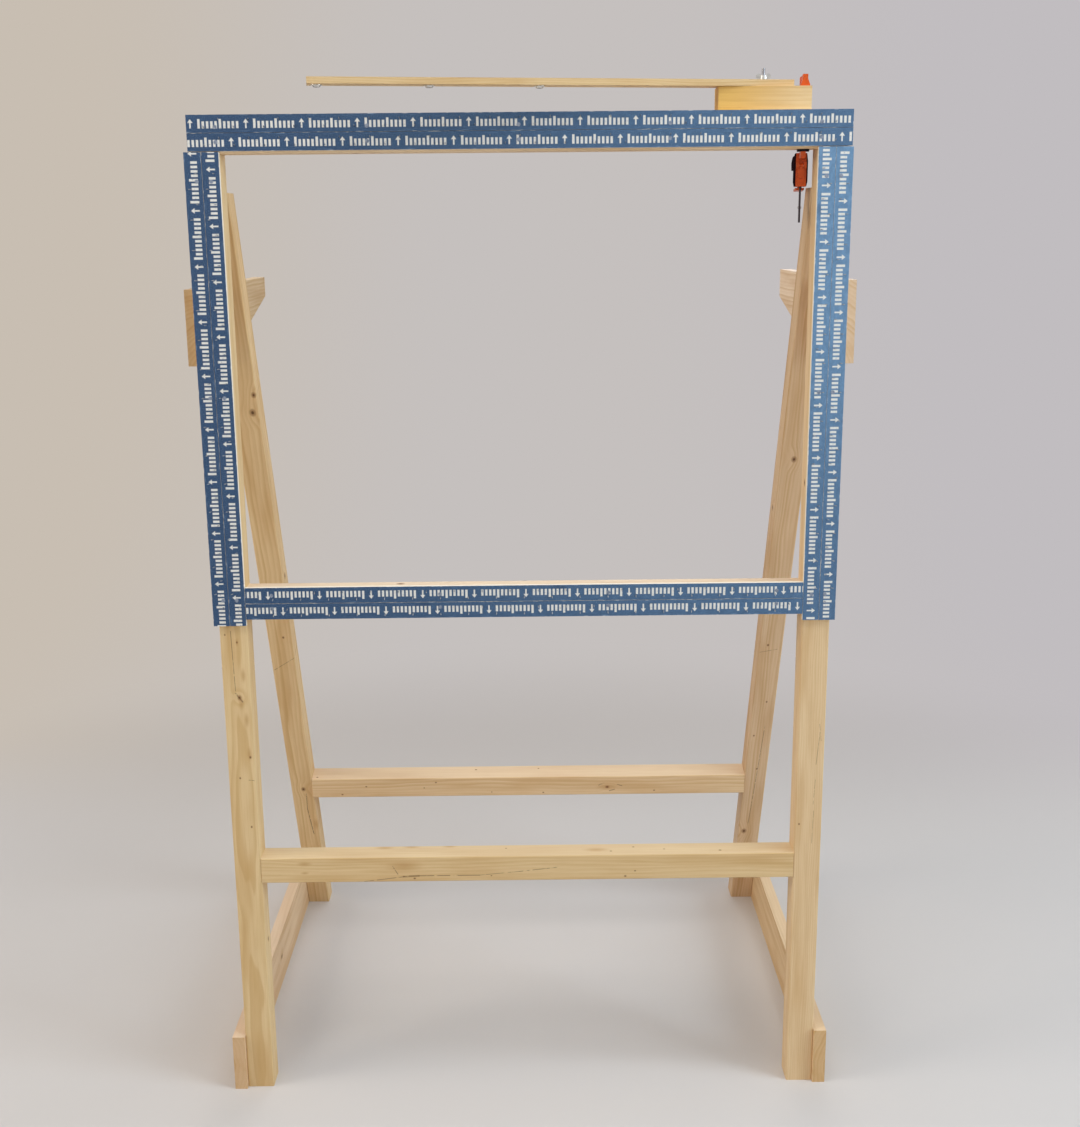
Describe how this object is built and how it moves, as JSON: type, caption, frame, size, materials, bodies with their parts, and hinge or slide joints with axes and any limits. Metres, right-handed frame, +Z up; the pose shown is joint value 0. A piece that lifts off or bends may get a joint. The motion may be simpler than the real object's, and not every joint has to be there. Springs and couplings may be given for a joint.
{
  "type": "tufting frame",
  "caption": "Free-standing timber A-frame with tack strips round a cloth window and a swinging yarn arm on a clamped block.",
  "frame": {"origin": "on the floor, under the centre of the whole frame's outline", "axes": "+Z up, +X to the right seen from the cloth side, -Y towards the person who tufts"},
  "size_m": [0.874, 0.7254, 1.4333],
  "materials": {
    "timber": "planed, bare",
    "leg_timber": "planed, bare",
    "board": "planed, bare",
    "block_timber": "planed, bare",
    "arm_timber": "planed, bare",
    "strip": "plywood, painted face",
    "pin_steel": "bright",
    "nail_steel": "dull",
    "screw_steel": "zinc plated",
    "eyelet_metal": "polished",
    "bright_steel": "zinc plated",
    "clamp_steel": "blackened",
    "clamp_orange": "moulded",
    "clamp_black": "moulded",
    "pad_rubber": "soft"
  },
  "bodies": {
    "root": {"upright_left": "timber", "upright_right": "timber", "top_bar": "timber", "lower_bar": "timber", "front_rail": "timber", "rear_leg_left": "leg_timber", "rear_leg_right": "leg_timber", "rear_rail": "leg_timber", "base_board_left": "board", "base_board_right": "board", "side_bracket_left": "board", "side_bracket_right": "board", "strip_top_upper": "strip", "strip_top_lower": "strip", "strip_lower_upper": "strip", "strip_lower_lower": "strip", "strip_left_outer": "strip", "strip_left_inner": "strip", "strip_right_inner": "strip", "strip_right_outer": "strip", "tack_pins_top": "pin_steel", "tack_pins_lower": "pin_steel", "tack_pins_left": "pin_steel", "tack_pins_right": "pin_steel", "strip_nails": "nail_steel", "screws_top_bar": "screw_steel", "screws_lower_bar": "screw_steel", "screws_front_rail": "screw_steel", "screws_rear_rail": "screw_steel", "screws_base_boards": "screw_steel", "screws_brackets": "screw_steel"},
    "arm_carriage": {"arm_block": "block_timber", "pivot_bolt": "bright_steel", "clamp_bar": "clamp_steel", "clamp_top_jaw": "clamp_orange", "clamp_stop_pin": "bright_steel"},
    "arm": {"yarn_arm": "arm_timber", "yarn_eyelet_end": "eyelet_metal", "yarn_eyelet_middle": "eyelet_metal", "yarn_eyelet_inner": "eyelet_metal", "arm_washer": "bright_steel"},
    "wing_nut": {"wing_nut": "bright_steel"},
    "clamp_slider": {"clamp_body": "clamp_orange", "clamp_grip_left": "clamp_black", "clamp_grip_right": "clamp_black", "clamp_lower_pad": "pad_rubber", "clamp_trigger_pin": "bright_steel", "clamp_release_pin": "bright_steel", "clamp_drive_plate": "clamp_steel", "clamp_brake_plate": "clamp_steel", "clamp_spring": "bright_steel"},
    "clamp_trigger": {"clamp_trigger": "clamp_orange"},
    "clamp_release": {"clamp_release_lever": "clamp_orange"}
  },
  "joints": [
    {"name": "block_slide", "type": "slide", "parent": "root", "child": "arm_carriage", "axis": [1, 0, 0], "range_m": [-0.66, 0.001]},
    {"name": "arm_swing", "type": "hinge", "parent": "arm_carriage", "child": "arm", "pos_m": [0.3115, -0.26298, 1.4106], "axis": [0, 0, 1], "range_deg": [-120, 130]},
    {"name": "wing_nut_turn", "type": "hinge", "parent": "arm_carriage", "child": "wing_nut", "pos_m": [0.3115, -0.26298, 1.4199], "axis": [0, 0, 1], "range_deg": [0, 360]},
    {"name": "clamp_body_slide", "type": "slide", "parent": "arm_carriage", "child": "clamp_slider", "axis": [0, 0, 1], "range_m": [-0.018, 0]},
    {"name": "clamp_trigger_pull", "type": "hinge", "parent": "clamp_slider", "child": "clamp_trigger", "pos_m": [0.37015, -0.21766, 1.294], "axis": [0.9925, -0.1219, 0], "range_deg": [0, 14], "stiffness_Nm_per_rad": 0.5},
    {"name": "clamp_release_pull", "type": "hinge", "parent": "clamp_slider", "child": "clamp_release", "pos_m": [0.36693, -0.24396, 1.315], "axis": [0.9925, -0.1219, 0], "range_deg": [-12, 0], "stiffness_Nm_per_rad": 0.1}
  ]
}
